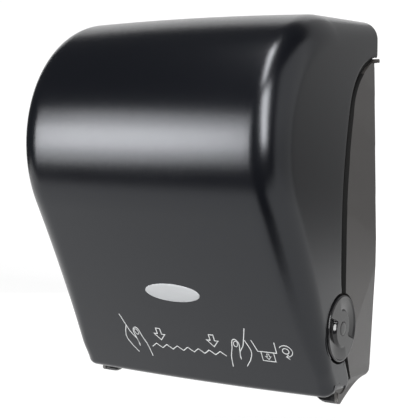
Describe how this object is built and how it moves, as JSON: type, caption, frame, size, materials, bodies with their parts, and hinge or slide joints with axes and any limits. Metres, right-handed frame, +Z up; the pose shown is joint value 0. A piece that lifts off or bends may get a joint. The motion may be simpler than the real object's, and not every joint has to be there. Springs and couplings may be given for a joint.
{
  "type": "roll towel dispenser",
  "caption": "Wall-mounted roll towel dispenser with a hinged wrap-round cover, side feed knob, pull-and-cut drum and a sprung roll holder.",
  "frame": {"origin": "centre of the four wall holes, on the back plane that lies on the wall", "axes": "+X to the right seen from the front, the front faces -Y, +Y into the wall, +Z up"},
  "size_m": [0.3171, 0.236, 0.4035],
  "materials": {
    "charcoal_shell": "semi-gloss, fine grain",
    "grey_housing": "fine matt grain",
    "dark_plastic": "satin",
    "knob_gloss": "gloss",
    "pale_print": "matt",
    "nylon": "natural nylon",
    "steel": "plated, satin",
    "spring_steel": "drawn wire",
    "rubber": "matt",
    "hub_plastic": "satin"
  },
  "bodies": {
    "housing": {"rear_housing": "grey_housing", "chute": "dark_plastic", "hinge_pins": "steel", "keeper": "steel", "plate_left": "steel", "plate_right": "steel", "tie_rods": "steel", "module_screws": "steel", "drum_bushes": "nylon", "stripper": "dark_plastic", "spring_post": "steel", "return_spring": "spring_steel", "arm_left": "dark_plastic", "axle_left": "steel", "arm_bracket": "dark_plastic", "arm_pin": "steel", "arm_spring": "spring_steel", "arm_screws": "steel", "pinch_springs": "spring_steel"},
    "cover": {"front_cover": "charcoal_shell", "name_badge": "pale_print", "lock_nut": "steel"},
    "lock": {"lock_barrel": "steel", "lock_cam": "steel"},
    "drum": {"feed_drum": "dark_plastic", "drum_shaft": "steel", "grip_bands": "rubber", "feed_knob": "knob_gloss", "knob_cap": "knob_gloss", "crank_disc": "steel"},
    "knife": {"knife_bar": "steel", "knife_blade": "steel", "knife_pins": "steel"},
    "pinch_carriage": {"pinch_carriage": "nylon"},
    "pinch": {"pinch_roller": "rubber", "pinch_axle": "steel"},
    "arm": {"arm_right": "dark_plastic", "axle_right": "steel"},
    "hub_left": {"hub_left": "hub_plastic"},
    "hub_right": {"hub_right": "hub_plastic"}
  },
  "joints": [
    {"name": "cover_hinge", "type": "hinge", "parent": "housing", "child": "cover", "pos_m": [0, -0.077, -0.206], "axis": [1, 0, 0], "range_deg": [0, 90]},
    {"name": "lock_turn", "type": "hinge", "parent": "cover", "child": "lock", "pos_m": [0, -0.03, 0.173], "axis": [0, 0, 1], "range_deg": [0, 90]},
    {"name": "drum_spin", "type": "hinge", "parent": "housing", "child": "drum", "pos_m": [0, -0.091, -0.148], "axis": [1, 0, 0], "continuous": true, "deforming": ["return_spring"]},
    {"name": "knife_swing", "type": "hinge", "parent": "drum", "child": "knife", "pos_m": [0, -0.06486, -0.15219], "axis": [1, 0, 0], "range_deg": [0, 45], "stiffness_Nm_per_rad": 0.1, "springref_deg": -22.92},
    {"name": "pinch_slide", "type": "slide", "parent": "housing", "child": "pinch_carriage", "axis": [0, 0.7071, 0.7071], "range_m": [0, 0.002], "stiffness_N_per_m": 2000, "springref_m": -0.003, "deforming": ["pinch_springs"]},
    {"name": "pinch_spin", "type": "hinge", "parent": "pinch_carriage", "child": "pinch", "pos_m": [0, -0.05543, -0.11243], "axis": [1, 0, 0], "continuous": true},
    {"name": "arm_swing", "type": "hinge", "parent": "housing", "child": "arm", "pos_m": [0.11195, -0.014, 0.032], "axis": [0, 0, 1], "range_deg": [0, 14], "stiffness_Nm_per_rad": 0.6, "springref_deg": -22.92},
    {"name": "hub_left_spin", "type": "hinge", "parent": "housing", "child": "hub_left", "pos_m": [-0.096, -0.108, 0.032], "axis": [1, 0, 0], "continuous": true},
    {"name": "hub_right_spin", "type": "hinge", "parent": "arm", "child": "hub_right", "pos_m": [0.096, -0.108, 0.032], "axis": [1, 0, 0], "continuous": true}
  ],
  "couplings": [
    {"joint": "pinch_spin", "follows": "drum_spin", "ratio": -4}
  ]
}
